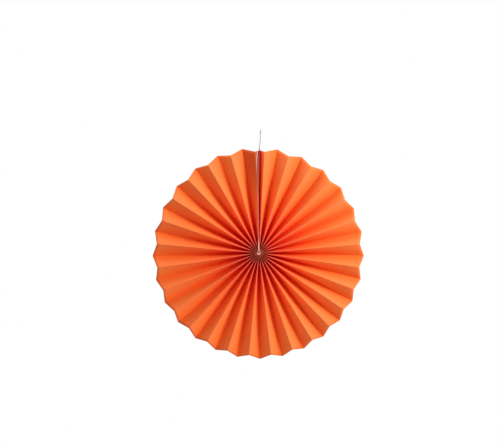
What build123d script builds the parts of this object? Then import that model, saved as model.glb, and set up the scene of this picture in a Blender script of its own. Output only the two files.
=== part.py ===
from build123d import *
import os
from dataclasses import dataclass
from math import asin, cos, degrees, hypot, pi, radians, sin, sqrt, tan

# A hanging paper fan rosette: one pleated strip of paper whose two end flaps are taped
# together at the top, so that it opens into a full disc, hung on a doubled cotton thread.
# Lengths are in millimetres. X is to the right, Y to the back and Z up. The fan hangs
# upright with its front facing -Y, and the origin is the point where the thread's loop
# hangs on its hook. Azimuths are clockwise from the top, as seen from the front.

# Pleated paper
FAN_RADIUS = 200.0  # hub to the rim tips, which are the rear folds
NOTCH_DEPTH = 8.2  # the front folds end this much short of the rear ones
THROAT_RADIUS = 3.2  # open hole that the inner ends of the pleats leave
RIM_DEPTH = 13.7  # from front to rear folds at the rim, where the pleats are most open
PAPER_THICKNESS = 0.25
PLEATS = 27  # rear folds
OPEN_SWING = 3.7  # degrees that the pleats' own weight opens the top ones
OPEN_AZIMUTH = -8.0  # where the pleats are most open
HUB_OFFSET = 1.8  # the thread draws the hub off the middle of the rim
HUB_OFFSET_AZIMUTH = 50.0

# Seam of the two end flaps
SEAM_AZIMUTH = 0.45
GROOVE_ANGLE = 5.0  # between the two front folds beside the seam, at the rim
GROOVE_DEPTH = 3.9  # at the rim, from those folds to where the flaps bend together
TAPE_THICKNESS = 0.15
TAPE_SIDE_MARGIN = 2.65  # to the bend of the flaps and to their free edges
TAPE_START = 16.0  # from the hub
TAPE_END_MARGIN = 6.6  # to the rim
CROWN_GAP = 0.05  # between the two front folds of the seam, at the throat

# Thread, drawn with flat sides
THREAD_DIAMETER = 1.1
THREAD_SIDES = 8

# Gathering thread, a ring of straight runs through a punched hole in every panel
GATHER_RADIUS = 8.0
GATHER_CORNERS = 9
PUNCH_CLEARANCE = 0.3  # from the thread to the corners of the hole
PUNCH_SIDES = 6
GATHER_KNOT_WIDTH = 4.2
GATHER_KNOT_LENGTH = 5.2  # along the thread, from side to side of the throat
GATHER_KNOT_ABOVE = 0.4  # of the hub

# Loop of the hanging thread at the hub, which dips into the throat
LOOP_CLEARANCE = 0.15  # to the pleats round the throat
LOOP_OPENING = 75.0  # degrees each side of the top
LOOP_TILT = 20.0
LEAD_LENGTH = 3.5  # of each strand, straight out of the loop and into the knot
REST_CLEARANCE = 0.1  # of the strands to the folds that they lie on

# Hook point, from the hub
HOOK_HEIGHT = 224.2
HOOK_RIGHT = 0.7
HOOK_FORWARD = 5.6

# Crossed turns of the knots
KNOT_TURN_TILT = 20.0
KNOT_TURN_CORNERS = 12

# Knot that ties the two strands at the top
KNOT_RIGHT = 2.2  # of the hook point
KNOT_ABOVE = 3.4
KNOT_WIDTH = 3.0
KNOT_HEIGHT = 3.6
NECK_LENGTH = 0.8  # of each strand's stub outside the knot
TAIL_LENGTH = 4.5
TAIL_LEAN = 14.0
TAIL_ROUNDING = 0.2

# Route of each strand above its lead, from the hub: right, back and up. They lie on the two
# front folds beside the seam, sink into the groove and part above the rim.
LEFT_ROUTE = [
    (-1.45, -15.2, 10.0),
    (-1.3, -15.0, 21.0),
    (-1.6, -14.8, 42.0),
    (-2.15, -14.25, 78.0),
    (-3.1, -12.4, 114.0),
    (-4.3, -10.75, 150.0),
    (-4.6, -9.0, 174.0),
    (-3.6, -7.4, 190.0),
    (-3.1, -6.6, 203.0),
    (-2.8, -6.1, 213.0),
    (-2.4, -5.8, 218.6),
]
RIGHT_ROUTE = [
    (1.1, -15.2, 9.0),
    (-0.05, -14.9, 20.0),
    (-0.4, -14.65, 41.0),
    (-0.95, -14.1, 78.0),
    (-1.55, -11.7, 114.0),
    (-2.15, -9.0, 150.0),
    (-2.1, -7.2, 174.0),
    (-1.1, -6.1, 190.0),
    (0.35, -5.9, 203.0),
    (1.45, -5.75, 212.0),
    (2.0, -5.65, 217.5),
]
LEFT_ENTRY = 45.0  # degrees from straight up, of the left strand into the knot
RIGHT_ENTRY = 6.0
ARC_SHARE = 0.45  # of the shorter run at a corner, which the arc there takes up

# Worked out from the sizes above
THREAD_RADIUS = THREAD_DIAMETER / 2
HALF_PITCH = (360.0 - GROOVE_ANGLE) / (2 * PLEATS)
WIDEST_HALF_PITCH = HALF_PITCH * (1 + radians(OPEN_SWING))
FOLDS = 2 * PLEATS + 1
PANEL_WIDTH = hypot(RIM_DEPTH, 2 * FAN_RADIUS * sin(radians(WIDEST_HALF_PITCH) / 2))
HUB = Vector(-HOOK_RIGHT, HOOK_FORWARD, -HOOK_HEIGHT)
BOW_SHARES = (0.0, 0.5, 1.0)  # where along its length a bowed edge is set: throat, middle, rim


def polar(radius, azimuth):
    """The point of the fan's middle plane at this radius and azimuth from the hub."""
    return HUB + Vector(radius * sin(radians(azimuth)), 0, radius * cos(radians(azimuth)))


def rim_azimuth(order):
    """Azimuth of a fold's rim end. The folds are closer together away from the open side."""
    even = GROOVE_ANGLE / 2 + order * HALF_PITCH
    opened = sin(radians(even - OPEN_AZIMUTH)) + sin(radians(OPEN_AZIMUTH))
    return SEAM_AZIMUTH + even + OPEN_SWING * opened


def throat_azimuth(order):
    """Azimuth of a fold's inner end. All panels lie side by side there, with room for the seam."""
    seam_side = PAPER_THICKNESS + TAPE_THICKNESS / 2 + CROWN_GAP
    seam_angle = degrees(asin(seam_side / THROAT_RADIUS))
    return SEAM_AZIMUTH + seam_angle + order * (180.0 - seam_angle) / PLEATS


def reach(azimuth, behind_front):
    """Distance from the hub to the rim, at a share of the panel's width behind its front fold."""
    drawn = HUB_OFFSET * cos(radians(azimuth - HUB_OFFSET_AZIMUTH))
    return FAN_RADIUS - NOTCH_DEPTH * (1 - behind_front) - drawn


def fold_depth(radius, half_pitch):
    """Half the fan's thickness, where a flat panel spans half a pitch at this radius."""
    chord = 2 * radius * sin(radians(half_pitch) / 2)
    return sqrt(PANEL_WIDTH**2 - chord**2) / 2


def crown_half_width(depth):
    """Half the width of a fold's outer face, which keeps the paper's thickness along the panel."""
    chord = sqrt(PANEL_WIDTH**2 - (2 * depth) ** 2)
    return PAPER_THICKNESS * (PANEL_WIDTH - chord) / (2 * depth)


@dataclass
class Line:
    """A line along the paper from the throat to the rim, in the fan's middle plane."""

    start: Vector
    end: Vector

    def at(self, share, sideways, back):
        """The point at this share of the line, moved clockwise and to the back."""
        along = (self.end - self.start).normalized()
        clockwise = Vector(along.Z, 0, -along.X)
        return self.start + (self.end - self.start) * share + clockwise * sideways + Vector(0, back, 0)

    def radius(self, share):
        """Distance from the hub at this share of the line."""
        return (self.start + (self.end - self.start) * share - HUB).length


@dataclass
class Station:
    """Where the strip folds, bends or ends: the paper's edges on its front and rear side.

    Each side has the edge of the panel before the station and that of the panel after it.
    They are the same edge on the inside of a fold.
    """

    front: tuple
    rear: tuple


def bowed_edge(point_at):
    """An arc through the points that point_at gives at the throat, halfway and at the rim."""
    return Edge.make_three_point_arc(*(point_at(share) for share in BOW_SHARES))


def fold_station(order):
    """A fold of the strip. Even orders are front folds and odd ones are rear folds."""
    is_front = order % 2 == 0
    azimuth = rim_azimuth(order)
    half_pitch = (rim_azimuth(order + 1) - rim_azimuth(order - 1)) / 2
    line = Line(
        polar(THROAT_RADIUS, throat_azimuth(order)),
        polar(reach(azimuth, 0 if is_front else 1), azimuth),
    )
    facing = -1 if is_front else 1

    def crown_point(side):
        def point_at(share):
            depth = fold_depth(line.radius(share), half_pitch)
            back = facing * (depth + PAPER_THICKNESS / 2)
            return line.at(share, side * crown_half_width(depth), back)

        return point_at

    def crease_point(share):
        depth = fold_depth(line.radius(share), half_pitch)
        return line.at(share, 0, facing * (depth - PAPER_THICKNESS / 2))

    crown = (bowed_edge(crown_point(-1)), bowed_edge(crown_point(1)))
    crease = bowed_edge(crease_point)
    if is_front:
        return Station(front=crown, rear=(crease, crease))
    return Station(front=(crease, crease), rear=crown)


def groove_spread(radius):
    """How far an end flap leans sideways in the groove, from its bend to its front fold."""
    return radius * sin(radians(GROOVE_ANGLE / 2)) - (TAPE_THICKNESS + PAPER_THICKNESS) / 2


def slanted_width():
    """Width of an end flap between its front fold and its bend."""
    return hypot(GROOVE_DEPTH, groove_spread(reach(SEAM_AZIMUTH, 0)))


def closed_width():
    """Width of the part of each end flap that lies flat against the other."""
    return PANEL_WIDTH - slanted_width()


def flap_depths(share):
    """How far back the end flaps bend together and end, at this share of the seam's line."""
    front_radius = THROAT_RADIUS + share * (reach(SEAM_AZIMUTH, 0) - THROAT_RADIUS)
    to_bend = sqrt(slanted_width() ** 2 - groove_spread(front_radius) ** 2)
    bend = to_bend - fold_depth(front_radius, WIDEST_HALF_PITCH)
    return bend, bend + closed_width()


def flap_station(side, is_end):
    """The bend of an end flap, or its free end. Side is 1 right of the seam and -1 left of it."""
    behind = 1.0 if is_end else slanted_width() / PANEL_WIDTH
    line = Line(
        polar(THROAT_RADIUS, SEAM_AZIMUTH),
        polar(reach(SEAM_AZIMUTH, behind), SEAM_AZIMUTH),
    )
    inner = TAPE_THICKNESS / 2

    def edge(sideways):
        return bowed_edge(lambda share: line.at(share, side * sideways, flap_depths(share)[is_end]))

    groove_side = edge(inner)
    outer_side = edge(inner + PAPER_THICKNESS)
    return Station(front=(groove_side, groove_side), rear=(outer_side, outer_side))


def ruled(first, second):
    """The face between two edges."""
    return Face.make_surface_from_curves(first, second)


def cap_faces(before, after, share):
    """The paper's cut edge across one panel, at the throat (share 0) or the rim (share 1)."""
    one_side = Edge.make_line(before.front[1] @ share, before.rear[1] @ share)
    other_side = Edge.make_line(after.front[0] @ share, after.rear[0] @ share)
    return ruled(one_side, other_side)


def crown_faces(station):
    """The blunt outer face of a fold, with the small triangles that close its two ends."""
    is_front = station.rear[0] is station.rear[1]
    outer, inner = (station.front, station.rear) if is_front else (station.rear, station.front)
    faces = [ruled(outer[0], outer[1])]
    for share in (0, 1):
        corners = [outer[0] @ share, outer[1] @ share, inner[0] @ share]
        faces.append(Face(Wire.make_polygon(corners, close=True)))
    return faces


def pleated_paper():
    """The whole strip, from one end flap's free edge round to the other's."""
    folds = [fold_station(order) for order in range(FOLDS)]
    right = [flap_station(1, True), flap_station(1, False)]
    left = [flap_station(-1, False), flap_station(-1, True)]
    stations = right + folds + left
    faces = []
    for before, after in zip(stations, stations[1:]):
        faces.append(ruled(before.front[1], after.front[0]))
        faces.append(ruled(before.rear[1], after.rear[0]))
        faces.extend(cap_faces(before, after, share) for share in (0, 1))
    for fold in folds:
        faces.extend(crown_faces(fold))
    for end in (stations[0], stations[-1]):
        faces.append(ruled(end.front[0], end.rear[0]))
    return Solid(Shell(faces))


def seam_tape():
    """Double-sided tape between the two end flaps, straight and clear of their edges."""
    from_back = max(flap_depths(share)[0] for share in BOW_SHARES) + TAPE_SIDE_MARGIN
    to_back = min(flap_depths(share)[1] for share in BOW_SHARES) - TAPE_SIDE_MARGIN
    length = reach(SEAM_AZIMUTH, 0) - TAPE_END_MARGIN - TAPE_START
    strip = Box(TAPE_THICKNESS, to_back - from_back, length)
    middle = Pos(0, (from_back + to_back) / 2, TAPE_START + length / 2)
    return Pos(HUB) * Rot(0, SEAM_AZIMUTH, 0) * middle * strip


def in_fan_plane(shape):
    """Turns a shape made in the XY plane to face the front, and centres it on the hub."""
    return Pos(HUB) * Rot(90, 0, 0) * shape


def tube_along(path, radius=THREAD_RADIUS, sides=THREAD_SIDES):
    """Thread along a path, or the room for it."""
    section = Plane(origin=path @ 0, z_dir=path % 0) * RegularPolygon(radius, sides)
    return sweep(section, path=path, transition=Transition.RIGHT)


def ring_path(radius, corners):
    """A closed ring of straight runs in the XY plane, which starts halfway along one of them."""
    points = [place.position for place in PolarLocations(radius, corners)]
    start = (points[-1] + points[0]) / 2
    return Polyline(start, *points, start)


def gathering_thread():
    """The ring of thread that holds the inner ends of the pleats together."""
    return in_fan_plane(tube_along(ring_path(GATHER_RADIUS, GATHER_CORNERS)))


def punched_holes():
    """The way of the gathering thread through the panels."""
    way = ring_path(GATHER_RADIUS, GATHER_CORNERS)
    return in_fan_plane(tube_along(way, THREAD_RADIUS + PUNCH_CLEARANCE, PUNCH_SIDES))


def wound_knot(width, length):
    """Two crossed turns of thread round a tight core, with the core's length along Z."""
    waist = RegularPolygon(width / 2 - THREAD_RADIUS / 2, THREAD_SIDES)
    tip = RegularPolygon(THREAD_RADIUS, THREAD_SIDES)
    knot = loft([Pos(0, 0, -length / 2) * tip, waist, Pos(0, 0, length / 2) * tip], ruled=True)
    turn = tube_along(ring_path(width / 2 - THREAD_RADIUS, KNOT_TURN_CORNERS))
    for side in (-1, 1):
        knot += Pos(0, 0, side * THREAD_RADIUS) * Rot(0, side * KNOT_TURN_TILT, 0) * turn
    return knot


def gathering_knot():
    """The knot of the gathering thread's two ends, in the throat behind the hub loop."""
    knot = Rot(0, 90, 0) * wound_knot(GATHER_KNOT_WIDTH, GATHER_KNOT_LENGTH)
    return Pos(polar(GATHER_KNOT_ABOVE, 0)) * knot


def loop_point(azimuth):
    """A point of the hub loop's centreline. The loop leans back, so its bottom is in the throat."""
    radius = THROAT_RADIUS - LOOP_CLEARANCE - THREAD_RADIUS
    over_folds = (PANEL_WIDTH + PAPER_THICKNESS) / 2 + THREAD_RADIUS + REST_CLEARANCE
    rise = cos(radians(azimuth)) - cos(radians(LOOP_OPENING))
    return HUB + Vector(
        radius * sin(radians(azimuth)),
        -over_folds - radius * rise * sin(radians(LOOP_TILT)),
        radius * cos(radians(azimuth)) * cos(radians(LOOP_TILT)),
    )


def loop_arc():
    """The hub loop's centreline, from its left end down and round to its right end."""
    ends = loop_point(-LOOP_OPENING), loop_point(LOOP_OPENING)
    return Edge.make_three_point_arc(ends[0], loop_point(180), ends[1])


def hub_loop():
    """The bight of the hanging thread that dips into the throat and carries the pleats."""
    return tube_along(loop_arc())


def knot_centre():
    """Middle of the knot, above the hook and to its right."""
    return Vector(KNOT_RIGHT, 0, KNOT_ABOVE)


def strand_end(entry):
    """Where a strand meets its stub below the knot, and the way it runs there."""
    way = Vector(sin(radians(entry)), 0, cos(radians(entry)))
    return knot_centre() - way * (KNOT_HEIGHT / 2 + NECK_LENGTH), way


def strand_points(side, route, entry):
    """All points of a strand's route, from the end of the hub loop to the knot."""
    arc = loop_arc()
    start = arc @ (0 if side < 0 else 1)
    way = (arc % 0) * -1 if side < 0 else arc % 1
    end, entry_way = strand_end(entry)
    leads = [start, start + way * LEAD_LENGTH], [end - entry_way * LEAD_LENGTH, end]
    return leads[0] + [HUB + Vector(point) for point in route] + leads[1]


def corner_radii(points):
    """The largest arc that the two runs at each corner leave room for."""
    radii = []
    for before, corner, after in zip(points, points[1:], points[2:]):
        turn = radians((corner - before).get_angle(after - corner))
        shorter = min((corner - before).length, (after - corner).length)
        radii.append(ARC_SHARE * shorter / tan(turn / 2))
    return radii


def strand(side, route, entry):
    """One strand of the hanging thread, as straight runs joined by arcs."""
    points = strand_points(side, route, entry)
    radii = corner_radii(points)
    path = FilletPolyline(*points, radius=radii)
    tube = tube_along(path)
    whole = RegularPolygon(THREAD_RADIUS, THREAD_SIDES).area * path.length
    print("strand length", round(path.length, 1), "volume share", round(tube.volume / whole, 4))
    print("smallest radius", round(min(radii), 1), [round(radius, 1) for radius in radii])
    return tube


def top_knot():
    """The knot with a stub for each strand and the cut tail."""
    knot = wound_knot(KNOT_WIDTH, KNOT_HEIGHT)
    tail = extrude(RegularPolygon(THREAD_RADIUS, THREAD_SIDES), TAIL_LENGTH)
    tail = chamfer(tail.faces().sort_by(Axis.Z)[-1].edges(), TAIL_ROUNDING)
    knot += Rot(0, TAIL_LEAN, 0) * Pos(0, 0, KNOT_HEIGHT / 2 - THREAD_RADIUS) * tail
    knot = Pos(knot_centre()) * knot
    for entry in (LEFT_ENTRY, RIGHT_ENTRY):
        end, way = strand_end(entry)
        stub = Plane(origin=end, z_dir=way) * RegularPolygon(THREAD_RADIUS, THREAD_SIDES)
        knot += extrude(stub, KNOT_HEIGHT / 2 + NECK_LENGTH, dir=way)
    return knot


def main():
    """Builds every piece and writes each to a file of its own."""
    os.makedirs("parts", exist_ok=True)
    parts = {
        "pleated_paper": pleated_paper() - punched_holes(),
        "seam_tape": seam_tape(),
        "gathering_thread": gathering_thread(),
        "gathering_knot": gathering_knot(),
        "hub_loop": hub_loop(),
        "left_thread": strand(-1, LEFT_ROUTE, LEFT_ENTRY),
        "right_thread": strand(1, RIGHT_ROUTE, RIGHT_ENTRY),
        "top_knot": top_knot(),
    }
    for name, shape in parts.items():
        print(name, round(shape.volume, 2), shape.is_valid, len(shape.faces()))
        export_step(shape, f"parts/{name}.step")


main()
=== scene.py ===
"""Dresses a hanging paper fan rosette: its pleated card, seam tape and cotton thread.

The rosette is one strip of dyed card, pleated and opened into a disc, with its two end flaps
taped together at the top. A doubled cotton thread comes up from the hub along the seam and
ends in a knot. Lengths are in metres and angles in degrees. X is to the right, Y to the back
and Z up, and azimuths are clockwise from the top, as seen from the front.
"""

import logging
import random
from bisect import bisect_left
from collections.abc import Sequence
from dataclasses import dataclass, field
from enum import Enum
from functools import cached_property
from math import asin, cos, degrees, hypot, pi, radians, sin, sqrt, tau

import bmesh
import bpy
from mathutils import Matrix, Quaternion, Vector

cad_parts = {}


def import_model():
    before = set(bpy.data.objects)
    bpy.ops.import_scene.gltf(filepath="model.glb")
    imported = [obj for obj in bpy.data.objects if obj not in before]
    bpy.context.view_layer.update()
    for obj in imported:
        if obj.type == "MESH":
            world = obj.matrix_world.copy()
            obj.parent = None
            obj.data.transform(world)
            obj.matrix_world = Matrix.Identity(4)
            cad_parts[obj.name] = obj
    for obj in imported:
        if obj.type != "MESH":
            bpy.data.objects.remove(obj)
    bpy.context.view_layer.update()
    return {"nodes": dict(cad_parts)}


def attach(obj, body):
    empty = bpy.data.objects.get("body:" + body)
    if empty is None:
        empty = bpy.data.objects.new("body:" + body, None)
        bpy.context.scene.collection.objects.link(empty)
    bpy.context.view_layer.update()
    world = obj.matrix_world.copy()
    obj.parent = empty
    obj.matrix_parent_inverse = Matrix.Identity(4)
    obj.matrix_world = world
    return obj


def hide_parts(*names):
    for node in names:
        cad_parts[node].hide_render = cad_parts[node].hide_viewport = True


MM = 0.001
BODY = "root"
LOG = logging.getLogger("rosette")

Mesh = bmesh.types.BMesh
Piece = bpy.types.Object
Material = bpy.types.Material
Node = bpy.types.Node
NodeTree = bpy.types.NodeTree
Socket = bpy.types.NodeSocket
Number = Socket | float
Point = tuple[float, float, float]
Colour = tuple[float, float, float]
Shade = Socket | Colour
Inputs = dict[str | int, Number | Colour]
Range = tuple[float, float]

# Numbers of the colour sockets of a Mix node
MIX_FIRST, MIX_SECOND, MIX_RESULT = 6, 7, 2


class Side(Enum):
    """The two faces of the card. The value is the way along Y that the face looks."""

    FRONT = -1
    REAR = 1


class Strand(Enum):
    """The two strands of the hanging thread. The value starts the names of their pieces."""

    LEFT = "left"
    RIGHT = "right"


class Slot(Enum):
    """Material slots of the record, for the card and the thread."""

    CARD = "card"
    THREAD = "thread"


# Finishes


class NodeGraph:
    """A short way to add nodes to a tree and to link their sockets."""

    def __init__(self, tree: NodeTree) -> None:
        """Keeps the tree that the nodes go into."""
        self.tree = tree

    def feed(self, socket: Socket, value: Number | Colour) -> None:
        """Sets or links an input.

        Args:
            socket: The input.
            value: A number, a colour or the socket that feeds it.
        """
        if isinstance(value, Socket):
            self.tree.links.new(value, socket)
        else:
            socket.default_value = (*value, 1.0) if isinstance(value, tuple) else value

    def add(self, kind: str, values: Inputs | None = None, **options: object) -> Node:
        """Adds a node.

        Args:
            kind: The node's type, without the ShaderNode in front.
            values: Value or source socket for each of the node's inputs, by name or number.
            options: Attributes of the node, such as its operation.

        Returns:
            The new node.
        """
        node = self.tree.nodes.new("ShaderNode" + kind)
        for name, option in options.items():
            setattr(node, name, option)
        for key, value in (values or {}).items():
            self.feed(node.inputs[key], value)
        return node

    def math(self, operation: str, first: Number, second: Number = 0.0) -> Socket:
        """The result of a Math node's operation on one or two values."""
        return self.add("Math", {0: first, 1: second}, operation=operation).outputs[0]

    def ramp(
        self, value: Socket, low: float, high: float, start: float = 0.0, end: float = 1.0
    ) -> Socket:
        """The value, mapped smoothly from low..high to start..end."""
        values = {"Value": value, "From Min": low, "From Max": high, "To Min": start, "To Max": end}
        return self.add("MapRange", values, interpolation_type="SMOOTHSTEP").outputs["Result"]

    def mix(self, factor: Number, first: Shade, second: Shade, blend: str = "MIX") -> Socket:
        """A mix of two colours, where the factor is the share of the second."""
        values = {0: factor, MIX_FIRST: first, MIX_SECOND: second}
        return self.add("Mix", values, data_type="RGBA", blend_type=blend).outputs[MIX_RESULT]


@dataclass(frozen=True)
class FibreGroup:
    """Felted fibres, as a node group for any paper, film or cotton surface."""

    fine_detail: float = 4.0
    fine_roughness: float = 0.62
    coarse_detail: float = 3.0
    coarse_roughness: float = 0.55
    coarse_share: float = 0.12
    cloud_range: Range = (0.3, 0.7)

    def make(self) -> NodeTree:
        """Builds the group.

        Returns:
            The group, with inputs Scale, Stretch and Place, and outputs Height and Cloud.
        """
        tree = bpy.data.node_groups.new("Fibres", "ShaderNodeTree")
        for label, kind in (("Scale", "Float"), ("Stretch", "Float"), ("Place", "Vector")):
            tree.interface.new_socket(label, in_out="INPUT", socket_type="NodeSocket" + kind)
        for label in ("Height", "Cloud"):
            tree.interface.new_socket(label, in_out="OUTPUT", socket_type="NodeSocketFloat")
        start, end = tree.nodes.new("NodeGroupInput"), tree.nodes.new("NodeGroupOutput")
        scale, stretch, place = start.outputs[:3]
        graph = NodeGraph(tree)
        longer = graph.add("CombineXYZ", {0: 1.0, 1: stretch, 2: 1.0}).outputs[0]
        fine = {
            "Vector": graph.add("VectorMath", {0: place, 1: longer}, operation="DIVIDE").outputs[0],
            "Scale": scale,
            "Detail": self.fine_detail,
            "Roughness": self.fine_roughness,
        }
        coarse = {
            "Vector": place,
            "Scale": graph.math("MULTIPLY", scale, self.coarse_share),
            "Detail": self.coarse_detail,
            "Roughness": self.coarse_roughness,
        }
        cloud = graph.ramp(graph.add("TexNoise", coarse).outputs["Fac"], *self.cloud_range)
        graph.feed(end.inputs["Height"], graph.add("TexNoise", fine).outputs["Fac"])
        graph.feed(end.inputs["Cloud"], cloud)
        return tree


@dataclass(frozen=True)
class Fibres:
    """The fibres of one finish: how fine, how much longer one way, how deep and how strong."""

    scale: float
    stretch: float
    depth: float
    strength: float


class Surface:
    """A new material: its Principled BSDF and the nodes that feed it."""

    def __init__(self, name: str) -> None:
        """Makes the material.

        Args:
            name: The material's name.
        """
        self.material = bpy.data.materials.new(name)
        self.material.use_nodes = True
        self.graph = NodeGraph(self.material.node_tree)
        self.shader = self.material.node_tree.nodes["Principled BSDF"]

    def set(self, values: Inputs) -> None:
        """Sets or links inputs of the Principled BSDF, by name."""
        for name, value in values.items():
            self.graph.feed(self.shader.inputs[name], value)

    def felt(self, group: NodeTree, fibres: Fibres, place: Socket) -> Node:
        """Covers the surface with fibres, whose height feeds its normal.

        Args:
            group: The fibre group.
            fibres: What the fibres are like.
            place: Coordinates that they follow.

        Returns:
            The group's node.
        """
        values = {"Scale": fibres.scale, "Stretch": fibres.stretch, "Place": place}
        node = self.graph.add("Group", values, node_tree=group)
        relief = {
            "Height": node.outputs["Height"],
            "Distance": fibres.depth,
            "Strength": fibres.strength,
        }
        self.set({"Normal": self.graph.add("Bump", relief).outputs["Normal"]})
        return node

    def shine_through(self, colour: Socket, share: float) -> None:
        """Lets light through the sheet.

        Args:
            colour: Colour of the light that comes through.
            share: How much of the light does.
        """
        through = self.graph.add("BsdfTranslucent", {"Color": colour}).outputs[0]
        mixed = self.graph.add("MixShader", {0: share, 1: self.shader.outputs[0], 2: through})
        output = self.material.node_tree.nodes["Material Output"]
        self.graph.feed(output.inputs["Surface"], mixed.outputs[0])


@dataclass(frozen=True)
class DyedCard:
    """Matt dyed card, whose colours paint in much of its light and shade.

    Each pair of colours is the card's at the rim, and close to the hub. Towards the hub the dye and
    valley colours grow darker and redder as painted shade of the deep pleats, and the fold colour
    paler as painted highlight. Places are on the flat strip.
    """

    group: NodeTree
    panel_width: float
    flap_bends: tuple[float, float]
    seam_panel: float
    fibres: Fibres = Fibres(scale=2600.0, stretch=2.4, depth=0.06 * MM, strength=0.35)
    # The dye's own colour at the rim, darker and redder near the hub as painted shade.
    dye_and_hub_shade: tuple[Colour, Colour] = ((0.94, 0.238, 0.054), (0.98, 0.150, 0.056))
    # Painted shade: the colour deep in the valleys behind the front folds.
    valley_shade: tuple[Colour, Colour] = ((0.92, 0.190, 0.027), (0.99, 0.012, 0.001))
    # At the folds: partly worn card and partly painted highlight, paler near the hub.
    wear_and_highlight: tuple[Colour, Colour] = ((0.96, 0.290, 0.170), (0.98, 0.350, 0.400))
    inner_end: float = 115.0 * MM
    valley_range: Range = (0.2, 0.9)
    cloud_share: float = 0.16
    crease_width: float = 0.9 * MM
    crease_share: float = 0.6
    patch_range: Range = (0.35, 0.6)
    least_patch: float = 0.4
    # Painted light on the right end flap, fading out just before its first fold.
    flap_light: Colour = (1.0, 0.105, 0.012)
    flap_light_blend: float = 3.6 * MM
    shaded: Colour = (0.66, 0.108, 0.017)
    shaded_range: Range = (60.0 * MM, 175.0 * MM)
    # Painted shade in the throat, near the card's inner edge.
    throat_shade: Colour = (0.64, 0.095, 0.050)
    throat_shade_range: Range = (8.0 * MM, 19.0 * MM)
    # Painted shade in the seam's groove, beside the bends of the end flaps.
    groove_shade: Colour = (0.40, 0.004, 0.001)
    groove_shade_range: Range = (1.5 * MM, 5.0 * MM)
    through_at_hub: Colour = (1.0, 0.060, 0.004)
    through_at_rim: Colour = (0.76, 0.080, 0.006)
    through_range: Range = (85.0 * MM, 200.0 * MM)
    through_share: float = 0.33
    rough_range: Range = (0.3, 0.7)
    roughness: Range = (0.64, 0.72)
    specular: float = 0.25

    def make(self) -> Material:
        """Builds the material on the strip's flat coordinates, which the UV map holds.

        Returns:
            The material.
        """
        surface, width = Surface("dyed_card"), self.panel_width
        graph = surface.graph
        flat = graph.add("TexCoord").outputs["UV"]
        felted = surface.felt(self.group, self.fibres, flat)
        height, cloud = felted.outputs["Height"], felted.outputs["Cloud"]
        along, across = graph.add("SeparateXYZ", {0: flat}).outputs[:2]
        # Towards the hub: painted shade in the dye and valley colours, painted highlight at the folds.
        inner = graph.ramp(across, 0.0, self.inner_end, 1.0, 0.0)
        dye_and_hub_shade, valley_shade, wear_and_highlight = [graph.mix(inner, *pair) for pair in (self.dye_and_hub_shade, self.valley_shade, self.wear_and_highlight)]
        # Painted shade: the valley colour comes in behind each front fold, with random clouds.
        from_front = graph.math("PINGPONG", graph.math("SUBTRACT", along, width), width)
        sunk = graph.ramp(from_front, *(share * width for share in self.valley_range))
        clouded = graph.math("ADD", graph.math("MULTIPLY", cloud, self.cloud_share), sunk)
        # Close to every fold, in random patches: partly wear and partly painted highlight.
        from_fold = graph.math("PINGPONG", from_front, width / 2)
        crease = graph.ramp(from_fold, 0.0, self.crease_width, self.crease_share, 0.0)
        patches = graph.ramp(height, *self.patch_range, self.least_patch, 1.0)
        last_panels = graph.math("GREATER_THAN", along, self.seam_panel)
        colour = graph.mix(clouded, dye_and_hub_shade, valley_shade)
        changes = (
            # Painted light on the right end flap.
            (graph.ramp(along, width - self.flap_light_blend, width, 1.0, 0.0), self.flap_light),
            # Worn folds and painted highlight.
            (graph.math("MULTIPLY", crease, patches), wear_and_highlight),
            (graph.math("MULTIPLY", graph.ramp(across, *self.shaded_range), last_panels), self.shaded),
            # Painted shade in the throat.
            (graph.ramp(across, *self.throat_shade_range, 1.0, 0.0), self.throat_shade),
            # Painted shade in the seam's groove.
            (self.glue(graph, along), self.groove_shade),
        )
        for mask, changed in changes:
            colour = graph.mix(mask, colour, changed)
        roughness = graph.ramp(height, *self.rough_range, *self.roughness)
        surface.set({"Base Color": colour, "Roughness": roughness, "Specular IOR Level": self.specular})
        toward_rim = graph.ramp(across, *self.through_range)
        through = graph.mix(toward_rim, self.through_at_hub, self.through_at_rim)
        surface.shine_through(through, self.through_share)
        return surface.material

    def glue(self, graph: NodeGraph, along: Socket) -> Socket:
        """Painted shade in the seam's groove, beside the bends of both end flaps.

        Args:
            graph: The material's nodes.
            along: Place along the flat strip.

        Returns:
            A mask, 1 at the bends of the end flaps.
        """
        first, last = self.flap_bends
        to_first = graph.math("ABSOLUTE", graph.math("SUBTRACT", along, first))
        to_last = graph.math("ABSOLUTE", graph.math("SUBTRACT", along, last))
        return graph.ramp(graph.math("MINIMUM", to_first, to_last), *self.groove_shade_range, 1.0, 0.0)


@dataclass(frozen=True)
class Band:
    """A colour that a thread takes on over a range of heights above the hub."""

    colour: Colour
    heights: Range


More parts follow.
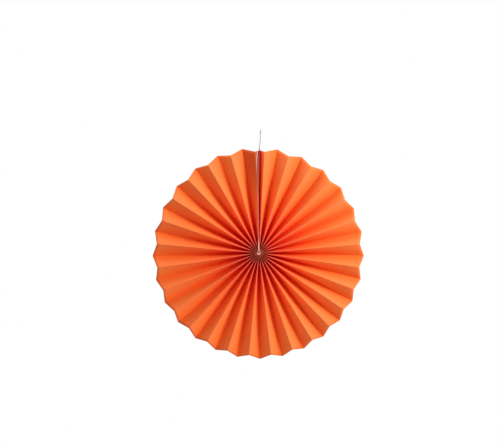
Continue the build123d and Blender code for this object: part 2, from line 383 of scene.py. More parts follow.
@dataclass(frozen=True)
class CottonThread:
    """Twisted cotton: matt, with painted shade between its fibres, and bands of colour by height above
    the hub.
    """

    name: str
    group: NodeTree
    hub_height: float
    foot: Colour
    bands: Sequence[Band]
    fibres: Fibres = Fibres(scale=9000.0, stretch=1.0, depth=0.05 * MM, strength=0.5)
    # Painted shade between the fibres.
    between: Colour = (0.66, 0.66, 0.66)
    fibre_shade_range: Range = (0.3, 0.65)
    roughness: float = 0.85
    specular: float = 0.2
    sheen: float = 0.3

    def make(self) -> Material:
        """Builds the material.

        Returns:
            The material.
        """
        surface = Surface(self.name)
        graph = surface.graph
        place = graph.add("TexCoord").outputs["Object"]
        felted = surface.felt(self.group, self.fibres, place)
        from_origin = graph.add("SeparateXYZ", {0: place}).outputs["Z"]
        height = graph.math("SUBTRACT", from_origin, self.hub_height)
        colour = self.foot
        # Bands of colour by height above the hub, which here are mostly painted red light from the card
        # and painted shade.
        for band in self.bands:
            colour = graph.mix(graph.ramp(height, *band.heights), colour, band.colour)
        # Painted shade between the fibres.
        sunk = graph.ramp(felted.outputs["Height"], *self.fibre_shade_range, 1.0, 0.0)
        colour = graph.mix(sunk, colour, self.between, "MULTIPLY")
        surface.set({"Base Color": colour, "Roughness": self.roughness})
        surface.set({"Specular IOR Level": self.specular, "Sheen Weight": self.sheen})
        return surface.material


@dataclass(frozen=True)
class TapeFilm:
    """Thin double-sided tape: a milky film with a slightly glossy glue."""

    group: NodeTree
    fibres: Fibres = Fibres(scale=1200.0, stretch=1.0, depth=0.02 * MM, strength=0.2)
    film: Colour = (0.72, 0.68, 0.58)
    glue: Colour = (0.62, 0.56, 0.44)
    roughness: float = 0.35

    def make(self) -> Material:
        """Builds the material.

        Returns:
            The material.
        """
        surface = Surface("tape_film")
        place = surface.graph.add("TexCoord").outputs["Object"]
        felted = surface.felt(self.group, self.fibres, place)
        colour = surface.graph.mix(felted.outputs["Cloud"], self.film, self.glue)
        surface.set({"Base Color": colour, "Roughness": self.roughness})
        return surface.material


def dress(piece: Piece, material: Material) -> None:
    """Gives a piece this material alone."""
    piece.data.materials.clear()
    piece.data.materials.append(material)


def settle(piece: Piece, material: Material) -> None:
    """Gives a piece its finish and lets it ride with the rosette.

    Args:
        piece: The new piece, with its place in its mesh.
        material: The material.
    """
    dress(piece, material)
    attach(piece, BODY)


def object_from(bm: Mesh, name: str) -> Piece:
    """Makes an object of a finished bmesh and frees it.

    Args:
        bm: The mesh.
        name: The object's name.

    Returns:
        The object, at the origin.
    """
    mesh = bpy.data.meshes.new(name)
    bm.to_mesh(mesh)
    bm.free()
    for polygon in mesh.polygons:
        polygon.use_smooth = True
    piece = bpy.data.objects.new(name, mesh)
    bpy.context.scene.collection.objects.link(piece)
    return piece


# Pleated card


@dataclass
class Rosette:
    """Where the folds of the opened strip lie."""

    hub: Vector = field(default_factory=lambda: Vector((-0.7, 5.6, -224.2)) * MM)
    fan_radius: float = 200.0 * MM
    notch_depth: float = 8.2 * MM
    throat_radius: float = 3.2 * MM
    rim_depth: float = 13.7 * MM
    thickness: float = 0.25 * MM
    pleats: int = 27
    open_swing: float = 3.7
    open_azimuth: float = -8.0
    hub_offset: float = 1.8 * MM
    hub_offset_azimuth: float = 50.0
    seam_azimuth: float = 0.45
    groove_angle: float = 5.0
    groove_depth: float = 3.9 * MM
    gather_radius: float = 8.0 * MM
    tape_thickness: float = 0.15 * MM
    crown_gap: float = 0.05 * MM

    @cached_property
    def folds(self) -> int:
        """Number of folds, with a front fold at each end."""
        return 2 * self.pleats + 1

    @cached_property
    def half_pitch(self) -> float:
        """Mean angle from fold to fold."""
        return (360.0 - self.groove_angle) / (2 * self.pleats)

    @cached_property
    def widest_half_pitch(self) -> float:
        """Angle from fold to fold where the pleats are most open."""
        return self.half_pitch * (1 + radians(self.open_swing))

    @cached_property
    def panel_width(self) -> float:
        """Width of a panel between its folds."""
        return hypot(self.rim_depth, self.chord(self.fan_radius, self.widest_half_pitch))

    def polar(self, radius: float, azimuth: float) -> Vector:
        """The point of the middle plane at this radius and azimuth from the hub."""
        return self.hub + Vector((radius * sin(radians(azimuth)), 0, radius * cos(radians(azimuth))))

    def rim_azimuth(self, order: int) -> float:
        """Azimuth of a fold's rim end.

        Args:
            order: The fold's number, clockwise from the seam.

        Returns:
            The azimuth.
        """
        even = self.groove_angle / 2 + order * self.half_pitch
        opened = sin(radians(even - self.open_azimuth)) + sin(radians(self.open_azimuth))
        return self.seam_azimuth + even + self.open_swing * opened

    def throat_azimuth(self, order: int) -> float:
        """Azimuth of a fold's inner end.

        Args:
            order: The fold's number, clockwise from the seam.

        Returns:
            The azimuth.
        """
        seam_side = self.thickness + self.tape_thickness / 2 + self.crown_gap
        seam_angle = degrees(asin(seam_side / self.throat_radius))
        return self.seam_azimuth + seam_angle + order * (180.0 - seam_angle) / self.pleats

    def reach(self, azimuth: float, behind_front: float) -> float:
        """Distance from the hub to the rim, at a share of a panel's width behind its front fold."""
        drawn = self.hub_offset * cos(radians(azimuth - self.hub_offset_azimuth))
        return self.fan_radius - self.notch_depth * (1 - behind_front) - drawn

    def chord(self, radius: float, half_pitch: float) -> float:
        """Width that a panel spans in the middle plane at this radius."""
        return 2 * radius * sin(radians(half_pitch) / 2)

    def fold_depth(self, radius: float, half_pitch: float) -> float:
        """Half the fan's thickness at this radius."""
        return sqrt(self.panel_width**2 - self.chord(radius, half_pitch) ** 2) / 2

    def groove_spread(self, radius: float) -> float:
        """How far an end flap leans sideways in the groove, from its bend to its front fold."""
        side_gap = (self.tape_thickness + self.thickness) / 2
        return radius * sin(radians(self.groove_angle / 2)) - side_gap

    @cached_property
    def slanted_width(self) -> float:
        """Width of an end flap between its front fold and its bend."""
        return hypot(self.groove_depth, self.groove_spread(self.reach(self.seam_azimuth, 0)))


# A line that bows through three points, at these shares of the way from the throat to the rim
Bow = tuple[Vector, Vector, Vector]
BOW_SHARES = (0.0, 0.5, 1.0)


def on_bow(bow: Bow, share: float) -> Vector:
    """The point at a share of a bowed line.

    Args:
        bow: The line's three points.
        share: From 0 at the throat to 1 at the rim.

    Returns:
        The point.
    """
    at_throat = (share - 0.5) * (share - 1) * 2
    halfway = share * (1 - share) * 4
    at_rim = share * (share - 0.5) * 2
    return bow[0] * at_throat + bow[1] * halfway + bow[2] * at_rim


def clockwise_of(start: Vector, end: Vector) -> Vector:
    """The way clockwise from a line that runs outwards in the middle plane, of length 1."""
    along = (end - start).normalized()
    return Vector((along.z, 0, -along.x))


@dataclass
class Crease:
    """A fold, bend or end of the strip, as the bowed line of its middle and its two blunt edges."""

    flat: float
    middle: dict[Side, Bow]
    edge_step: dict[Side, Bow]


@dataclass
class PleatedCard:
    """The strip of card: cut flat with its punched holes, then folded panel by panel.

    A ripple turns by ripple_turn, in radians, from the throat to the rim.
    """

    rosette: Rosette
    seed: int = 27
    crease_zone: float = 0.4 * MM
    inner_step: float = 0.02 * MM
    crease_cells: int = 4
    panel_stops: tuple[float, ...] = (0.0, 0.03, 0.1, 0.22, 0.36, 0.47, 0.53, 0.64, 0.78, 0.9, 0.97, 1.0)
    rows: int = 36
    hole_width: float = 1.7 * MM
    crown_rounding: float = 0.05 * MM
    bow_height: float = 0.35 * MM
    ripple_height: float = 0.12 * MM
    ripple_turn: float = 5.0
    lift_growth: float = 1.6

    @cached_property
    def length(self) -> float:
        """Length of a panel from the throat to the rim."""
        return self.rosette.fan_radius - self.rosette.throat_radius

    @cached_property
    def creases(self) -> list[Crease]:
        """All creases in order, from one end of the strip to the other.

        Returns:
            The right flap's end and bend, the folds, and the left flap's bend and end.
        """
        rosette = self.rosette
        slanted, width = rosette.slanted_width, rosette.panel_width
        found = [self.flap(1, True, 0.0), self.flap(1, False, width - slanted)]
        found += [self.fold(order, width + order * width) for order in range(rosette.folds)]
        last = found[-1].flat
        return [*found, self.flap(-1, False, last + slanted), self.flap(-1, True, last + width)]

    @property
    def flap_bends(self) -> tuple[float, float]:
        """Places along the flat strip where the two end flaps bend."""
        return self.creases[1].flat, self.creases[-2].flat

    @property
    def seam_panel(self) -> float:
        """Place along the flat strip where the last panel before the left end flap starts."""
        return self.creases[-4].flat

    def fold(self, order: int, flat: float) -> Crease:
        """A fold of the strip.

        Args:
            order: Even for a front fold and odd for a rear one.
            flat: Its place along the flat strip.

        Returns:
            The crease.
        """
        rosette = self.rosette
        outer, inner = (Side.REAR, Side.FRONT) if order % 2 else (Side.FRONT, Side.REAR)
        azimuth = rosette.rim_azimuth(order)
        half_pitch = (rosette.rim_azimuth(order + 1) - rosette.rim_azimuth(order - 1)) / 2
        start = rosette.polar(rosette.throat_radius, rosette.throat_azimuth(order))
        end = rosette.polar(rosette.reach(azimuth, order % 2), azimuth)
        clockwise = clockwise_of(start, end)
        outer_bow, inner_bow, outer_step = [], [], []
        for share in BOW_SHARES:
            place = start.lerp(end, share)
            radius = (place - rosette.hub).length
            depth = rosette.fold_depth(radius, half_pitch)
            spare = rosette.panel_width - rosette.chord(radius, half_pitch)
            outer_bow.append(place + Vector((0, outer.value * (depth + rosette.thickness / 2), 0)))
            inner_bow.append(place + Vector((0, outer.value * (depth - rosette.thickness / 2), 0)))
            outer_step.append(clockwise * (rosette.thickness * spare / (2 * depth)))
        inner_step = (clockwise * self.inner_step,) * len(BOW_SHARES)
        middle = {outer: tuple(outer_bow), inner: tuple(inner_bow)}
        return Crease(flat, middle, {outer: tuple(outer_step), inner: inner_step})

    def flap(self, side: int, is_end: bool, flat: float) -> Crease:
        """The bend of an end flap, or its free end.

        Args:
            side: 1 right of the seam and -1 left of it.
            is_end: Whether it is the free end.
            flat: Its place along the flat strip.

        Returns:
            The crease.
        """
        rosette = self.rosette
        slanted, width = rosette.slanted_width, rosette.panel_width
        behind = 1.0 if is_end else slanted / width
        start = rosette.polar(rosette.throat_radius, rosette.seam_azimuth)
        end = rosette.polar(rosette.reach(rosette.seam_azimuth, behind), rosette.seam_azimuth)
        clockwise = clockwise_of(start, end)
        front_reach = rosette.reach(rosette.seam_azimuth, 0)
        groove, outer = [], []
        for share in BOW_SHARES:
            radius = rosette.throat_radius + share * (front_reach - rosette.throat_radius)
            to_bend = sqrt(slanted**2 - rosette.groove_spread(radius) ** 2)
            back = to_bend - rosette.fold_depth(radius, rosette.widest_half_pitch)
            if is_end:
                back += width - slanted
            place = start.lerp(end, share) + Vector((0, back, 0))
            groove.append(place + clockwise * side * rosette.tape_thickness / 2)
            outer.append(place + clockwise * side * (rosette.tape_thickness / 2 + rosette.thickness))
        step = (Vector((0, -side * self.inner_step, 0)),) * len(BOW_SHARES)
        middle = {Side.FRONT: tuple(groove), Side.REAR: tuple(outer)}
        return Crease(flat, middle, {Side.FRONT: step, Side.REAR: step})

    def column_places(self) -> list[float]:
        """Places along the flat strip of the mesh's columns.

        Returns:
            The places, from the start of the strip to its end.
        """
        zone = self.crease_zone
        crossings = [2 * cell / self.crease_cells - 1 for cell in range(1, self.crease_cells)]
        first, last = self.creases[0], self.creases[-1]
        places = [first.flat]
        for before, after in zip(self.creases, self.creases[1:]):
            start, end = before.flat + zone, after.flat - zone
            places += [start + (end - start) * stop for stop in self.panel_stops]
            if after is not last:
                places += [after.flat + across * zone for across in crossings]
        return [*places, last.flat]

    def row_places(self) -> list[float]:
        """Places across the flat strip of the mesh's rows, with one row for the punched holes.

        Returns:
            The places, from the inner edge to the outer one.
        """
        middle = self.rosette.gather_radius - self.rosette.throat_radius
        start, end = middle - self.hole_width / 2, middle + self.hole_width / 2
        beyond = [end + (self.length - end) * row / self.rows for row in range(1, self.rows + 1)]
        return [0.0, start / 2, start, end, *beyond]

    def flat_strip(self) -> Mesh:
        """The strip before it is folded, with its holes punched and its thickness.

        Returns:
            The strip, with X along it, Y across it and Z through it.
        """
        columns, rows = self.column_places(), self.row_places()
        strip = bmesh.new()
        bmesh.ops.create_grid(strip, x_segments=len(columns) - 1, y_segments=len(rows) - 1, size=1.0)
        for vertex in strip.verts:
            column = round((vertex.co.x + 1) / 2 * (len(columns) - 1))
            row = round((vertex.co.y + 1) / 2 * (len(rows) - 1))
            vertex.co = Vector((columns[column], rows[row], 0))
        self.punch(strip)
        bmesh.ops.recalc_face_normals(strip, faces=strip.faces[:])
        bmesh.ops.solidify(strip, geom=strip.faces[:], thickness=self.rosette.thickness)
        return strip

    def punch(self, strip: Mesh) -> None:
        """Punches a hole for the gathering thread in each panel between two folds.

        Args:
            strip: The flat strip.
        """
        folds = self.creases[2:-2]
        middles = [(before.flat + after.flat) / 2 for before, after in zip(folds, folds[1:])]
        hole_row = self.rosette.gather_radius - self.rosette.throat_radius
        near = self.hole_width / 4
        punched = []
        for face in strip.faces:
            centre = face.calc_center_median()
            in_row = abs(centre.y - hole_row) < near
            if in_row and any(abs(centre.x - middle) < near for middle in middles):
                punched.append(face)
        bmesh.ops.delete(strip, geom=punched, context="FACES")

    def build(self, material: Material) -> Piece:
        """Cuts, punches and folds the strip.

        Args:
            material: Its finish.

        Returns:
            The piece.
        """
        strip = self.flat_strip()
        layer = strip.loops.layers.uv.new("Flat")
        for face in strip.faces:
            for loop in face.loops:
                loop[layer].uv = loop.vert.co.xy
        folding = Folding(self)
        for vertex in strip.verts:
            vertex.co = folding.folded(vertex.co)
        piece = object_from(strip, "folded_card")
        settle(piece, material)
        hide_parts("pleated_paper")
        return piece


@dataclass
class Folding:
    """Moves the points of the flat strip to where folding takes them, with its faces still outwards."""

    card: PleatedCard

    def __post_init__(self) -> None:
        """Finds where panels start, and draws how much each bows and ripples, the same in every run."""
        card = self.card
        self.starts = [crease.flat + card.crease_zone for crease in card.creases[1:-1]]
        draw = random.Random(card.seed)
        count = len(card.creases)
        self.bows = [draw.uniform(-1, 1) * card.bow_height for _ in range(count)]
        self.ripples = [draw.uniform(-1, 1) * card.ripple_height for _ in range(count)]
        self.phases = [draw.uniform(0, tau) for _ in range(count)]

    def folded(self, flat: Vector) -> Vector:
        """Where a point of the flat strip ends up.

        Args:
            flat: The point, with X along the strip, Y across it and Z through it.

        Returns:
            The point of the rosette.
        """
        side = Side.FRONT if flat.z > -self.card.rosette.thickness / 2 else Side.REAR
        share = flat.y / self.card.length
        number = bisect_left(self.starts, flat.x)
        before, after = self.card.creases[number : number + 2]
        zone = self.card.crease_zone
        for crease in (before, after):
            across = (flat.x - crease.flat) / zone
            if abs(across) <= 1:
                return self.on_crease(crease, side, across, share)
        start = self.on_crease(before, side, 1.0, share)
        end = self.on_crease(after, side, -1.0, share)
        part = (flat.x - before.flat - zone) / (after.flat - before.flat - 2 * zone)
        return start.lerp(end, part) + self.lift(number, part, share, end - start)

    def on_crease(self, crease: Crease, side: Side, across: float, share: float) -> Vector:
        """A point of a crease, with the crown rounded off.

        Args:
            crease: The crease.
            side: Face of the card.
            across: From -1 to 1 across the crease.
            share: From 0 at the throat to 1 at the rim.

        Returns:
            The point.
        """
        middle = on_bow(crease.middle[side], share)
        toward = 1 if middle.y > self.card.rosette.hub.y else -1
        rounding = Vector((0, toward * self.card.crown_rounding * across**2, 0))
        return middle + on_bow(crease.edge_step[side], share) * across - rounding

    def lift(self, number: int, part: float, share: float, width: Vector) -> Vector:
        """How far a panel stands off the flat between its folds.

        Args:
            number: Number of the panel. Those of the end flaps stay flat.
            part: From 0 at one fold to 1 at the next.
            share: From 0 at the throat to 1 at the rim.
            width: From one fold to the other.

        Returns:
            The step off the flat panel.
        """
        if not 1 < number < len(self.card.creases) - 3:
            return Vector((0, 0, 0))
        normal = Vector((width.y, -hypot(width.x, width.z), 0)).normalized()
        flat_way = Vector((width.x, 0, width.z)).normalized()
        across = flat_way * normal.x + Vector((0, normal.y, 0))
        arch = 4 * part * (1 - part)
        ripple = sin(self.phases[number] + self.card.ripple_turn * share) * sin(pi * part)
        grown = min(1.0, self.card.lift_growth * share)
        return across * grown * (self.bows[number] * arch + self.ripples[number] * ripple)


# Thread


@dataclass(frozen=True)
class Route:
    """How a strand runs: its turn off the hub loop, its lean into the knot and the points between.

    The turn is 1 anticlockwise and -1 clockwise. Points are from the hub, in millimetres.
    """

    turning: int
    lean: float
    points: tuple[Point, ...]


ROUTES = {
    Strand.LEFT: Route(
        turning=-1,
        lean=45.0,
        points=(
            (-1.2, -15.2, 9.0),
            (-1.2, -15.0, 21.0),
            (-1.6, -14.8, 42.0),
            (-2.15, -14.25, 78.0),
            (-3.1, -12.4, 114.0),
            (-4.3, -10.75, 150.0),
            (-4.6, -9.0, 174.0),
            (-3.6, -7.4, 190.0),
            (-3.1, -6.6, 203.0),
            (-2.8, -6.1, 213.0),
            (-2.4, -5.8, 218.6),
        ),
    ),
    Strand.RIGHT: Route(
        turning=1,
        lean=6.0,
        points=(
            (0.05, -15.2, 8.5),
            (-0.05, -14.9, 20.0),
            (-0.4, -14.65, 41.0),
            (-0.95, -14.1, 78.0),
            (-1.55, -11.7, 114.0),
            (-2.15, -9.0, 150.0),
            (-2.1, -7.2, 174.0),
            (-0.4, -6.1, 190.0),
            (1.45, -5.9, 203.0),
            (2.25, -5.75, 212.0),
            (2.4, -5.65, 217.5),
        ),
    ),
}


@dataclass
class ThreadPlan:
    """Where the hanging thread leaves the hub and enters the knot."""

    rosette: Rosette
    diameter: float = 1.1 * MM
    loop_clearance: float = 0.15 * MM
    loop_opening: float = 65.0
    loop_tilt: float = 24.0
    loop_lift: float = 0.62 * MM
    way_step: float = 0.01
    rest_clearance: float = 0.1 * MM
    lead_length: float = 3.5 * MM
    knot_centre: Vector = field(default_factory=lambda: Vector((2.2, 0.0, 3.4)) * MM)
    knot_height: float = 3.6 * MM
    neck_length: float = 0.8 * MM

    def loop_point(self, azimuth: float) -> Vector:
        """A point of the hub loop's centreline.

        Args:
            azimuth: Clockwise from the top.

        Returns:
            The point.
        """
        rosette = self.rosette
        thread_radius = self.diameter / 2
        radius = rosette.throat_radius - self.loop_clearance - thread_radius
        over_folds = (rosette.panel_width + rosette.thickness) / 2 + thread_radius + self.rest_clearance
        rise = cos(radians(azimuth)) - cos(radians(self.loop_opening))
        tilt = radians(self.loop_tilt)
        right = radius * sin(radians(azimuth))
        back = -over_folds - radius * rise * sin(tilt)
        up = radius * cos(radians(azimuth)) * cos(tilt) + self.loop_lift
        return rosette.hub + Vector((right, back, up))

    def loop_way(self, azimuth: float, turning: int) -> Vector:
        """The way that the hub loop runs at a point, of length 1."""
        ahead = self.loop_point(azimuth - self.way_step * turning)
        return (ahead - self.loop_point(azimuth)).normalized()

    def knot_entry(self, side: Strand) -> tuple[Vector, Vector]:
        """Where a strand meets the knot and the way that it runs there.

        Args:
            side: Which strand.

        Returns:
            The point and the way.
        """
        lean = radians(ROUTES[side].lean)
        way = Vector((sin(lean), 0, cos(lean)))
        return self.knot_centre - way * (self.knot_height / 2 + self.neck_length), way

    def strand_points(self, side: Strand) -> list[Vector]:
        """Control points of a strand, from the end of the hub loop to the knot.

        Args:
            side: Which strand.

        Returns:
            The control points.
        """
        route = ROUTES[side]
        azimuth = route.turning * self.loop_opening
        start, way = self.loop_point(azimuth), self.loop_way(azimuth, route.turning)
        end, end_way = self.knot_entry(side)
        between = [self.rosette.hub + Vector(point) * MM for point in route.points]
        return [start, start + way * self.lead_length, *between, end - end_way * self.lead_length, end]


def spline_points(points: Sequence[Vector], resolution: int) -> list[Vector]:
    """Points read from a smooth spline.

    Args:
        points: Its control points.
        resolution: Points for each control point.

    Returns:
        The points along the spline.
    """
    curve = bpy.data.curves.new("route", "CURVE")
    curve.dimensions = "3D"
    curve.resolution_u = resolution
    spline = curve.splines.new("NURBS")
    spline.points.add(len(points) - 1)
    for place, point in zip(spline.points, points):
        place.co = (*point, 1.0)
    spline.order_u = 3
    spline.use_endpoint_u = True
    holder = bpy.data.objects.new("route", curve)
    mesh = bpy.data.meshes.new_from_object(holder)
    found = [vertex.co.copy() for vertex in mesh.vertices]
    bpy.data.objects.remove(holder)
    bpy.data.curves.remove(curve)
    bpy.data.meshes.remove(mesh)
    return found


def length_of(points: Sequence[Vector]) -> float:
    """Length of the runs from point to point."""
    return sum((after - before).length for before, after in zip(points, points[1:]))


def evenly(points: Sequence[Vector], step: float) -> list[Vector]:
    """Points at even steps along the runs from point to point.

    Args:
        points: The points of the line.
        step: Length of a step, as near as the line's length allows.

    Returns:
        The points, with the line's own first and last.
    """
    whole = length_of(points)
    count = max(2, round(whole / step))
    found = [points[0]]
    passed, number = 0.0, 0
    for place in range(1, count):
        wanted = whole * place / count
        while passed + (points[number + 1] - points[number]).length < wanted:
            passed += (points[number + 1] - points[number]).length
            number += 1
        run = points[number + 1] - points[number]
        found.append(points[number] + run * ((wanted - passed) / run.length))
    return [*found, points[-1]]


@dataclass
class Yarn:
    """Twisted thread of a few plies, made along a line of points.

    The radius of a ply and its offset from the line are shares of the thread's diameter.
    """

    diameter: float
    material: Material
    plies: int = 3
    pitch: float = 4.2 * MM
    steps_a_turn: int = 10
    sides: int = 8
    ply_share: float = 0.27
    offset_share: float = 0.235

    def build(self, name: str, *lines: Sequence[Vector]) -> Piece:
        """Twists the plies along one or more lines.

        Args:
            name: The piece's name.
            lines: Points of each line.

        Returns:
            The piece, which isn't settled yet.
        """
        mesh = bmesh.new()
        for line in lines:
            points = evenly(line, self.pitch / self.steps_a_turn)
            turns = self.turns(points)
            for ply in range(self.plies):
                self.add_ply(mesh, points, turns, tau * ply / self.plies)
        bmesh.ops.recalc_face_normals(mesh, faces=mesh.faces[:])
        return object_from(mesh, name)

    def turns(self, points: Sequence[Vector]) -> list[Quaternion]:
        """A turn at each point that takes Z along the line, with no twist of its own.

        Args:
            points: Points of the line.

        Returns:
            The turns.
        """
        ways = [(after - before).normalized() for before, after in zip(points, points[1:])]
        ways = [ways[0], *((a + b).normalized() for a, b in zip(ways, ways[1:])), ways[-1]]
        found = [Vector((0, 0, 1)).rotation_difference(ways[0])]
        for before, after in zip(ways, ways[1:]):
            found.append(before.rotation_difference(after) @ found[-1])
        return found

    def add_ply(
        self, mesh: Mesh, points: Sequence[Vector], turns: Sequence[Quaternion], phase: float
    ) -> None:
        """Adds one ply as a tube that winds round the line.

        Args:
            mesh: The mesh that it goes into.
            points: Points of the line.
            turns: Turn at each point.
            phase: Turn of the ply at the start, in radians.
        """
        step = length_of(points) / (len(points) - 1)
        offset = self.diameter * self.offset_share
        centres = []
        for number, (point, turn) in enumerate(zip(points, turns)):
            angle = phase + tau * number * step / self.pitch
            centres.append(point + turn @ Vector((offset * cos(angle), offset * sin(angle), 0)))
        ply_turns = self.turns(centres)
        ring = bmesh.ops.create_circle(
            mesh,
            cap_ends=True,
            segments=self.sides,
            radius=self.diameter * self.ply_share,
            matrix=Matrix.Translation(centres[0]) @ ply_turns[0].to_matrix().to_4x4(),
        )["verts"]
        edges = list(ring[0].link_faces[0].edges)
        steps = zip(centres, centres[1:], ply_turns, ply_turns[1:])
        for before, after, turn_before, turn_after in steps:
            grown = bmesh.ops.extrude_edge_only(mesh, edges=edges)["geom"]
            moved = [item for item in grown if isinstance(item, bmesh.types.BMVert)]
            edges = [item for item in grown if isinstance(item, bmesh.types.BMEdge)]
            edges = [edge for edge in edges if all(vertex in moved for vertex in edge.verts)]
            move = Matrix.Translation(after) @ (turn_after @ turn_before.inverted()).to_matrix().to_4x4()
            bmesh.ops.transform(mesh, matrix=move @ Matrix.Translation(-before), verts=moved)
        bmesh.ops.contextual_create(mesh, geom=edges)


@dataclass
class HangingThread:
    """The doubled thread: the bight in the throat and the two strands."""

    plan: ThreadPlan
    spline_resolution: int = 24
    loop_points: int = 40

    def loop(self, yarn: Yarn) -> Piece:
        """The bight that dips into the throat.

        Args:
            yarn: What it is twisted from.

        Returns:
            The piece.
        """
        opening, count = self.plan.loop_opening, self.loop_points
        span = 360.0 - 2 * opening
        azimuths = [-opening - span * number / count for number in range(count + 1)]
        piece = yarn.build("hub_bight", [self.plan.loop_point(azimuth) for azimuth in azimuths])
        settle(piece, yarn.material)
        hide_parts("hub_loop")
        return piece

    def strand(self, side: Strand, yarn: Yarn, knot: Piece) -> Piece:
        """One strand from the hub to the knot.

        Args:
            side: Which strand.
            yarn: What it is twisted from.
            knot: The knot that it ends in. It is not used.

        Returns:
            The piece.
        """
        points = self.plan.strand_points(side)
        line = spline_points(points, self.spline_resolution)
        piece = yarn.build(side.value + "_strand", line)
        settle(piece, yarn.material)
        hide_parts(side.value + "_thread")
        [tuple(point) for point in evenly(line, MM)]
        return piece


@dataclass
class OverhandKnot:
    """The knot of both strands: the left one wraps round the right one, which ends in the cut tail.

    Points are from the knot's centre, in millimetres.
    """

    plan: ThreadPlan
    yarn: Yarn
    spline_resolution: int = 16
    core_lead: float = 1.6 * MM
    wrap: tuple[Point, ...] = (
        (-0.75, -0.45, -0.7),
        (0.1, -1.0, -0.5),
        (0.95, -0.1, -0.1),
        (0.1, 0.95, 0.2),
        (-0.95, 0.1, 0.35),
        (-0.1, -0.95, 0.7),
        (0.85, -0.2, 0.9),
        (0.3, 0.5, 1.1),
    )
    core: tuple[Point, ...] = ((0.1, 0.1, 0.8), (0.25, 0.1, 2.2), (0.9, 0.0, 4.1), (1.25, 0.0, 5.5))

    def build(self) -> Piece:
        """Ties the knot.

        Returns:
            The piece.
        """
        wrap = (Strand.LEFT, self.plan.neck_length, self.wrap)
        core = (Strand.RIGHT, self.core_lead, self.core)
        lines = []
        for side, lead, points in (wrap, core):
            start, way = self.plan.knot_entry(side)
            inside = [self.plan.knot_centre + Vector(point) * MM for point in points]
            lines.append(spline_points([start, start + way * lead, *inside], self.spline_resolution))
        piece = self.yarn.build("overhand_knot", *lines)
        settle(piece, self.yarn.material)
        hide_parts("top_knot")
        return piece


@dataclass
class GatheringThread:
    """The thread through the punched holes, and the knot that holds it tight in the throat."""

    rosette: Rosette
    yarn: Yarn
    ring_points: int = 54
    knot_width: float = 4.4 * MM
    knot_length: float = 5.2 * MM
    knot_above: float = 0.8 * MM
    knot_turns: float = 3.5
    turn_points: int = 12
    end_length: float = 3.0 * MM
    end_slope: float = 0.3
    end_offset: float = 0.52
    end_draw: float = 0.9

    def ring(self) -> Piece:
        """Runs the thread through the holes.

        Returns:
            The piece.
        """
        azimuths = [360.0 * number / self.ring_points for number in range(self.ring_points + 1)]
        line = [self.rosette.polar(self.rosette.gather_radius, azimuth) for azimuth in azimuths]
        piece = self.yarn.build("gathering_ring", line)
        settle(piece, self.yarn.material)
        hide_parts("gathering_thread")
        return piece

    def knot(self) -> Piece:
        """Ties the thread's two ends across the throat: close turns round both ends.

        Returns:
            The piece.
        """
        centre = self.rosette.hub + Vector((0, 0, self.knot_above))
        thread = self.yarn.diameter
        half_span = (self.knot_length - thread) / 2
        across = (self.knot_width - thread) / 2
        steps = self.knot_turns * self.turn_points
        coil = []
        for number in range(round(steps) + 1):
            share = number / steps
            angle = tau * self.knot_turns * share
            around = (across * cos(angle), across * sin(angle))
            coil.append(centre + Vector(((2 * share - 1) * half_span, *around)))
        half = Vector((self.end_length, 0, 0))
        ends = []
        for side in (-1, 1):
            step = Vector((0, side, side * self.end_slope)).normalized() * thread * self.end_offset
            ends.append([centre + step - half, centre + step * self.end_draw, centre + step + half])
        piece = self.yarn.build("gathering_turns", coil, *ends)
        settle(piece, self.yarn.material)
        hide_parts("gathering_knot")
        return piece


# Studio


@dataclass(frozen=True)
class Lamp:
    """A round soft lamp that looks at the hub."""

    name: str
    azimuth: float
    lean: float
    distance: float
    size: float
    power: float

    def place(self, target: Vector) -> None:
        """Places the lamp.

        Args:
            target: The point that it looks at, from which its azimuth and lean are measured.
        """
        lean, azimuth = radians(self.lean), radians(self.azimuth)
        way = Vector((sin(lean) * sin(azimuth), -cos(lean), sin(lean) * cos(azimuth)))
        data = bpy.data.lights.new(self.name, "AREA")
        data.shape = "DISK"
        data.size = self.size
        data.energy = self.power
        lamp = bpy.data.objects.new(self.name, data)
        lamp.location = target + way * self.distance
        lamp.rotation_mode = "QUATERNION"
        lamp.rotation_quaternion = way.to_track_quat("Z", "Y")
        bpy.context.scene.collection.objects.link(lamp)


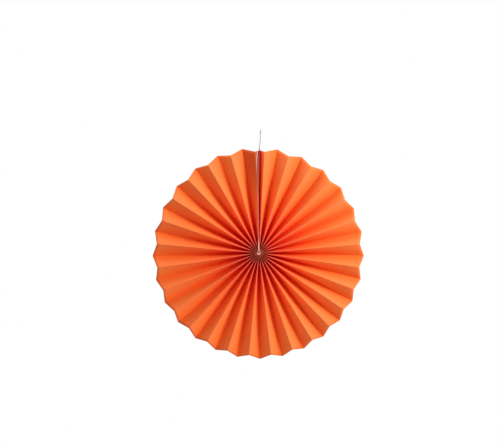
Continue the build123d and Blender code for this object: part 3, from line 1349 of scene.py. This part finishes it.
@dataclass
class Studio:
    """Camera, lamps, floor and background."""

    rosette: Rosette
    image_width: int = 500
    image_height: int = 447
    hub_pixel: tuple[float, float] = (259.0, 252.8)
    pixel: float = 1.887 * MM
    distance: float = 2.4
    sensor: float = 36.0
    lamps: tuple[Lamp, ...] = (
        Lamp("key", azimuth=65.0, lean=55.0, distance=1.3, size=0.6, power=22.5),
        Lamp("top", azimuth=340.0, lean=85.0, distance=1.2, size=0.8, power=8.8),
        Lamp("fill", azimuth=225.0, lean=25.0, distance=1.5, size=1.0, power=3.5),
    )
    ambient: float = 0.36
    white: Colour = (1.0, 1.0, 1.0)
    floor_drop: float = 0.45
    floor_size: float = 1.3
    floor_colour: Colour = (0.8, 0.8, 0.8)
    floor_roughness: float = 0.8

    def camera(self) -> None:
        """Places the camera straight in front, a little off the hub as the photo frames it."""
        data = bpy.data.cameras.new("camera")
        data.sensor_width = self.sensor
        data.lens = self.sensor * self.distance / (self.image_width * self.pixel)
        camera = bpy.data.objects.new("camera", data)
        bpy.context.scene.collection.objects.link(camera)
        right = (self.hub_pixel[0] - self.image_width / 2) * self.pixel
        down = (self.hub_pixel[1] - self.image_height / 2) * self.pixel
        camera.location = self.rosette.hub + Vector((-right, -self.distance, down))
        camera.rotation_euler = (radians(90), 0, 0)
        bpy.context.scene.camera = camera

    def world(self) -> None:
        """Sets a white background that lights the rosette only softly."""
        world = bpy.data.worlds.new("studio")
        bpy.context.scene.world = world
        world.use_nodes = True
        graph = NodeGraph(world.node_tree)
        path = graph.add("LightPath")
        seen = graph.math("MAXIMUM", path.outputs["Is Camera Ray"], path.outputs["Is Glossy Ray"])
        seen = graph.math("MAXIMUM", seen, path.outputs["Is Transmission Ray"])
        background = world.node_tree.nodes["Background"]
        graph.feed(background.inputs["Color"], self.white)
        graph.feed(background.inputs["Strength"], graph.ramp(seen, 0.0, 1.0, self.ambient, 1.0))

    def floor(self) -> None:
        """Lays a pale floor below the rosette, out of the photo's frame."""
        mesh = bmesh.new()
        bmesh.ops.create_grid(mesh, x_segments=1, y_segments=1, size=self.floor_size / 2)
        lowest = self.rosette.hub.z - self.rosette.fan_radius - self.floor_drop
        bmesh.ops.translate(mesh, verts=mesh.verts[:], vec=(0, 0, lowest))
        floor = object_from(mesh, "floor")
        surface = Surface("floor")
        surface.set({"Base Color": self.floor_colour, "Roughness": self.floor_roughness})
        dress(floor, surface.material)

    def build(self) -> None:
        """Sets up the whole studio."""
        self.camera()
        for lamp in self.lamps:
            lamp.place(self.rosette.hub)
        self.world()
        self.floor()
        bpy.context.scene.view_settings.view_transform = "Standard"


@dataclass
class ThreadBox:
    """The shades of cotton that the pieces are twisted from.

    A strand's colours are those close above the hub, on the card, in the shaded groove further up
    and above the rim: pale for the left strand, and for the right one the same cotton painted darker
    as shade. Clean and inner are a short yarn's: in the lower and the upper half of the throat, and
    above the rim. Most of these colours are painted red light from the card and painted shade; only
    the left strand's colour above the rim is the cotton's own. Each range is where a colour comes
    in, as heights above the hub.
    """

    rosette: Rosette
    group: NodeTree
    diameter: float
    # Painted shade at a strand's foot, at the hub.
    strand_foot_shade: Colour = (0.34, 0.095, 0.065)
    # Left strand: painted red light from the card and painted shade, then its own colour above the rim.
    pale: Sequence[Colour] = (
        (0.98, 0.52, 0.40),
        (0.68, 0.13, 0.07),
        (0.43, 0.095, 0.05),
        (0.78, 0.77, 0.72),
    )
    # Right strand: the same cotton as the left, painted darker all along as painted shade, with painted
    # red light from the card.
    shaded_strand: Sequence[Colour] = (
        (0.90, 0.36, 0.27),
        (0.60, 0.11, 0.085),
        (0.30, 0.085, 0.06),
        (0.07, 0.075, 0.07),
    )
    # Bight and top knot: painted red light from the card in the throat, and painted shade on the knot
    # above the rim.
    clean: Sequence[Colour] = ((1.0, 0.77, 0.62), (1.0, 0.48, 0.36), (0.21, 0.22, 0.21))
    # Gathering thread: painted shade low in the throat, painted red light from the card above it.
    inner: Sequence[Colour] = ((0.40, 0.13, 0.09), (0.98, 0.62, 0.50), (0.21, 0.22, 0.21))
    upper_throat_start: Range = (-0.9 * MM, 0.9 * MM)
    above_hub_start: Range = (0.0, 3.2 * MM)
    on_card_start: Range = (12.0 * MM, 27.0 * MM)
    muted_start: Range = (104.0 * MM, 124.0 * MM)
    above_rim_start: Range = (136.0 * MM, 192.0 * MM)

    def yarn(self, name: str, foot: Colour, *bands: Band) -> Yarn:
        """A yarn of its own shade, from the colour of its foot to those of its bands."""
        finish = CottonThread(name, self.group, self.rosette.hub.z, foot, bands)
        return Yarn(self.diameter, finish.make())

    def strand(self, name: str, colours: Sequence[Colour]) -> Yarn:
        """A yarn for a strand, with painted shade at its foot and painted red light and shade further
        up.
        """
        starts = (self.above_hub_start, self.on_card_start, self.muted_start, self.above_rim_start)
        return self.yarn(name, self.strand_foot_shade, *map(Band, colours, starts))

    def short(self, name: str, colours: Sequence[Colour]) -> Yarn:
        """A yarn for the short pieces at the hub and for the knot."""
        foot, middle, above = colours
        return self.yarn(name, foot, Band(middle, self.upper_throat_start), Band(above, self.above_rim_start))


def main() -> None:
    """Builds the rosette piece by piece."""
    logging.basicConfig(level=logging.INFO, format="%(message)s")
    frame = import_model()
    rosette = Rosette()
    Studio(rosette).build()
    fibres = FibreGroup().make()
    plan = ThreadPlan(rosette)
    box = ThreadBox(rosette, fibres, plan.diameter)
    pale, shaded_strand = box.strand("pale_cotton", box.pale), box.strand("shaded_strand_cotton", box.shaded_strand)
    clean, inner = box.short("clean_cotton", box.clean), box.short("inner_cotton", box.inner)
    thread = HangingThread(plan)
    knot = OverhandKnot(plan, clean).build()
    gathering = GatheringThread(rosette, inner)
    made = [thread.loop(clean), knot, gathering.ring(), gathering.knot()]
    made.append(thread.strand(Strand.LEFT, pale, knot))
    made.append(thread.strand(Strand.RIGHT, shaded_strand, knot))
    strip = PleatedCard(rosette)
    card = DyedCard(fibres, rosette.panel_width, strip.flap_bends, strip.seam_panel)
    made.append(strip.build(card.make()))
    tape = frame["nodes"]["seam_tape"]
    dress(tape, TapeFilm(fibres).make())
    made.append(tape)
    for piece in made:
        LOG.info("%s: %d faces", piece.name, len(piece.data.polygons))


if __name__ == "__main__":
    main()
